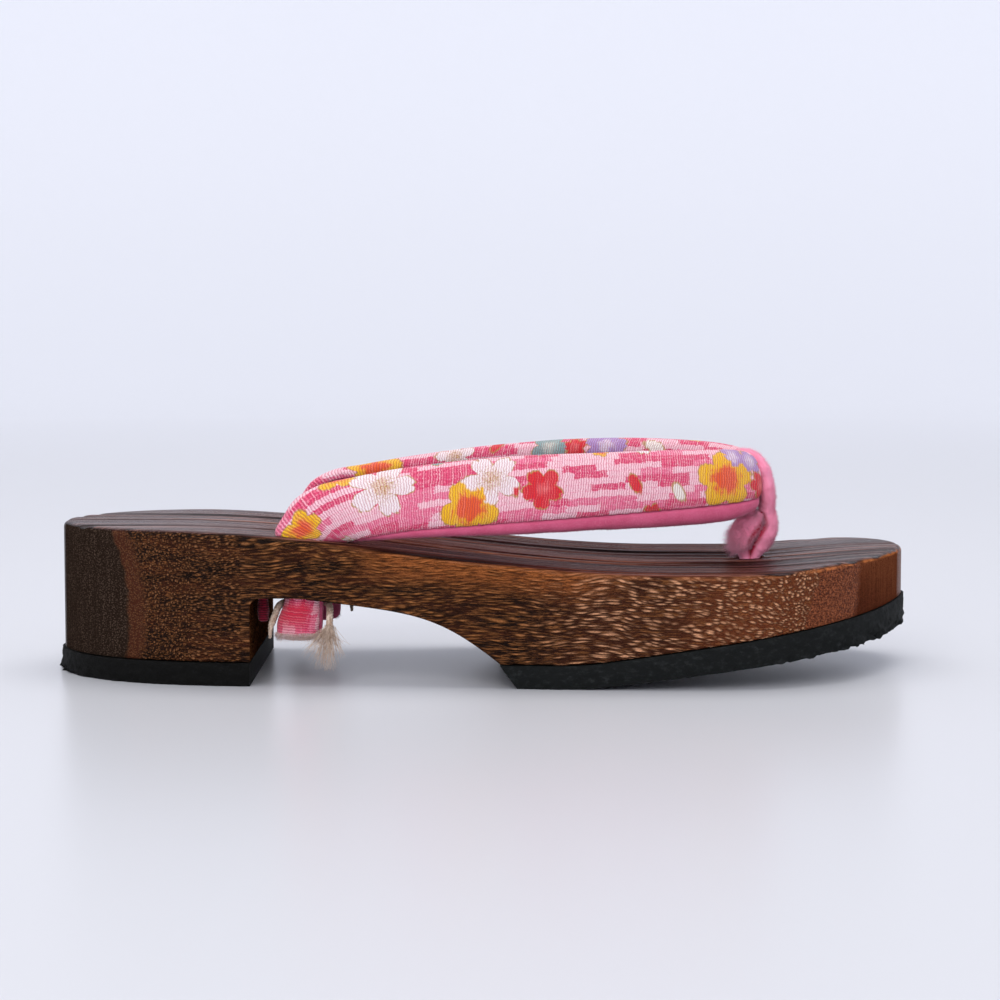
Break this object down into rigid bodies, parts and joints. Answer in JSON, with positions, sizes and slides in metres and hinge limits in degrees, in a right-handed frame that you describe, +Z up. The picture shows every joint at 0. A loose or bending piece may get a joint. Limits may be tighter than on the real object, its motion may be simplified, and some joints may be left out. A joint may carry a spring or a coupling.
{
  "type": "geta sandal",
  "caption": "Right-foot wooden sandal with an arched block platform, rubber pads under heel and forefoot, a padded printed V strap and a velour toe thong.",
  "frame": {"origin": "on the floor under the middle of the shoe", "axes": "+X toward the toe, +Y toward the big-toe side, +Z up"},
  "size_m": [0.2416, 0.0904, 0.0646],
  "materials": {
    "lacquered_wood": "glossy lacquer over raised dark grain",
    "sole_rubber": "matt, cut edges",
    "printed_cloth": "ribbed printed cloth",
    "pink_velour": "short velour nap",
    "crimson_cloth": "plain weave",
    "hemp_cord": "twisted fibre, frayed"
  },
  "bodies": {
    "root": {"platform": "lacquered_wood", "heel_pad": "sole_rubber", "forefoot_pad": "sole_rubber", "strap_cover": "printed_cloth", "strap_lining": "pink_velour", "toe_thong": "pink_velour", "strap_tail": "crimson_cloth", "tie_cord_lateral": "hemp_cord", "tie_cord_medial": "hemp_cord"}
  },
  "joints": []
}
